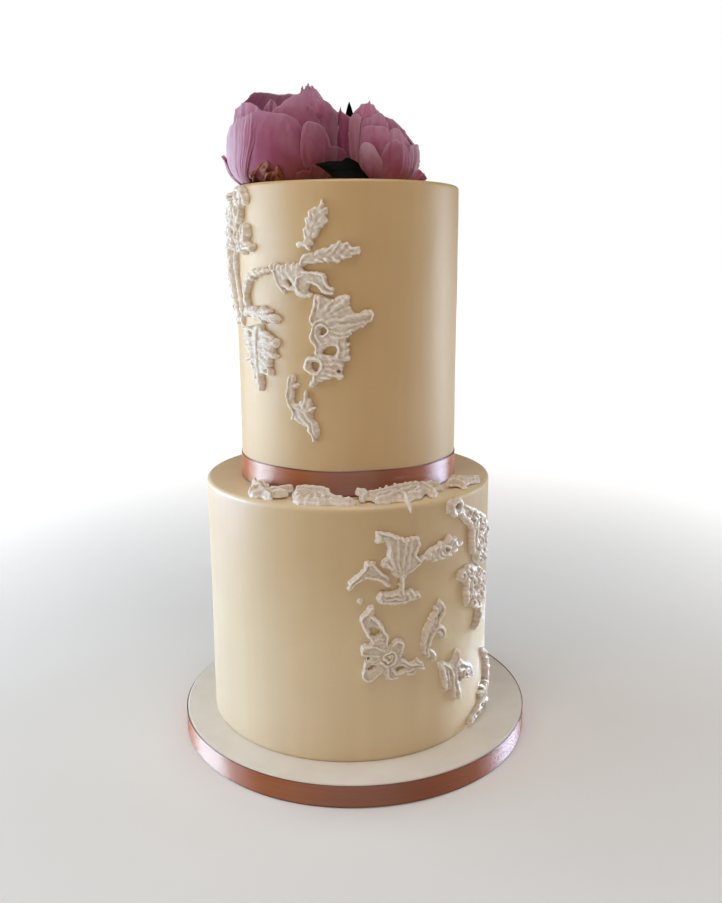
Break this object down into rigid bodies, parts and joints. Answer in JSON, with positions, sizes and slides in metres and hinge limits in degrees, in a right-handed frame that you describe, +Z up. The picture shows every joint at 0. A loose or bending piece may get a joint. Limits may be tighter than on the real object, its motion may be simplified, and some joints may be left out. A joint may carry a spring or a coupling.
{
  "type": "wedding cake",
  "caption": "Round stacked wedding cake in smooth ivory icing on an iced base, with satin ribbon bands, moulded white scroll trim and pink peonies on its crown.",
  "frame": {"origin": "centre of the round iced base, on its underside", "axes": "+Z up; -Y is the front, the side with most of the scroll trim; +X to the viewer's right"},
  "size_m": [0.256, 0.256, 0.4519],
  "materials": {
    "icing": "smooth ivory sugar paste, satin",
    "base_icing": "smooth ivory sugar paste, satin",
    "ribbon": "rose gold satin",
    "trim": "moulded white sugar, satin",
    "petal": "soft mauve pink petals",
    "leaf": "dark green waxy leaf"
  },
  "bodies": {
    "root": {"iced_base": "base_icing", "base_ribbon": "ribbon", "lower_tier": "icing", "upper_tier": "icing", "tier_ribbon": "ribbon", "trim_leaf_upright": "trim", "trim_leaf_oblique": "trim", "trim_hook": "trim", "trim_shell_upper": "trim", "trim_sprig_upper": "trim", "trim_c_scroll": "trim", "trim_leaf_hanging": "trim", "trim_rim_cluster": "trim", "trim_edge_strand": "trim", "trim_shell_lower": "trim", "trim_leaf_arched": "trim", "trim_leaf_side": "trim", "trim_scroll_rosette": "trim", "trim_leaf_tall": "trim", "trim_sprig_lower": "trim", "trim_edge_scroll": "trim", "trim_edge_leaf": "trim", "trim_edge_tail": "trim", "trim_ledge_crossed": "trim", "trim_ledge_shell": "trim", "trim_ledge_scroll": "trim", "trim_ledge_side": "trim", "peony_left": "petal", "peony_right": "petal", "leaf_front": "leaf", "leaf_back": "leaf"}
  },
  "joints": []
}
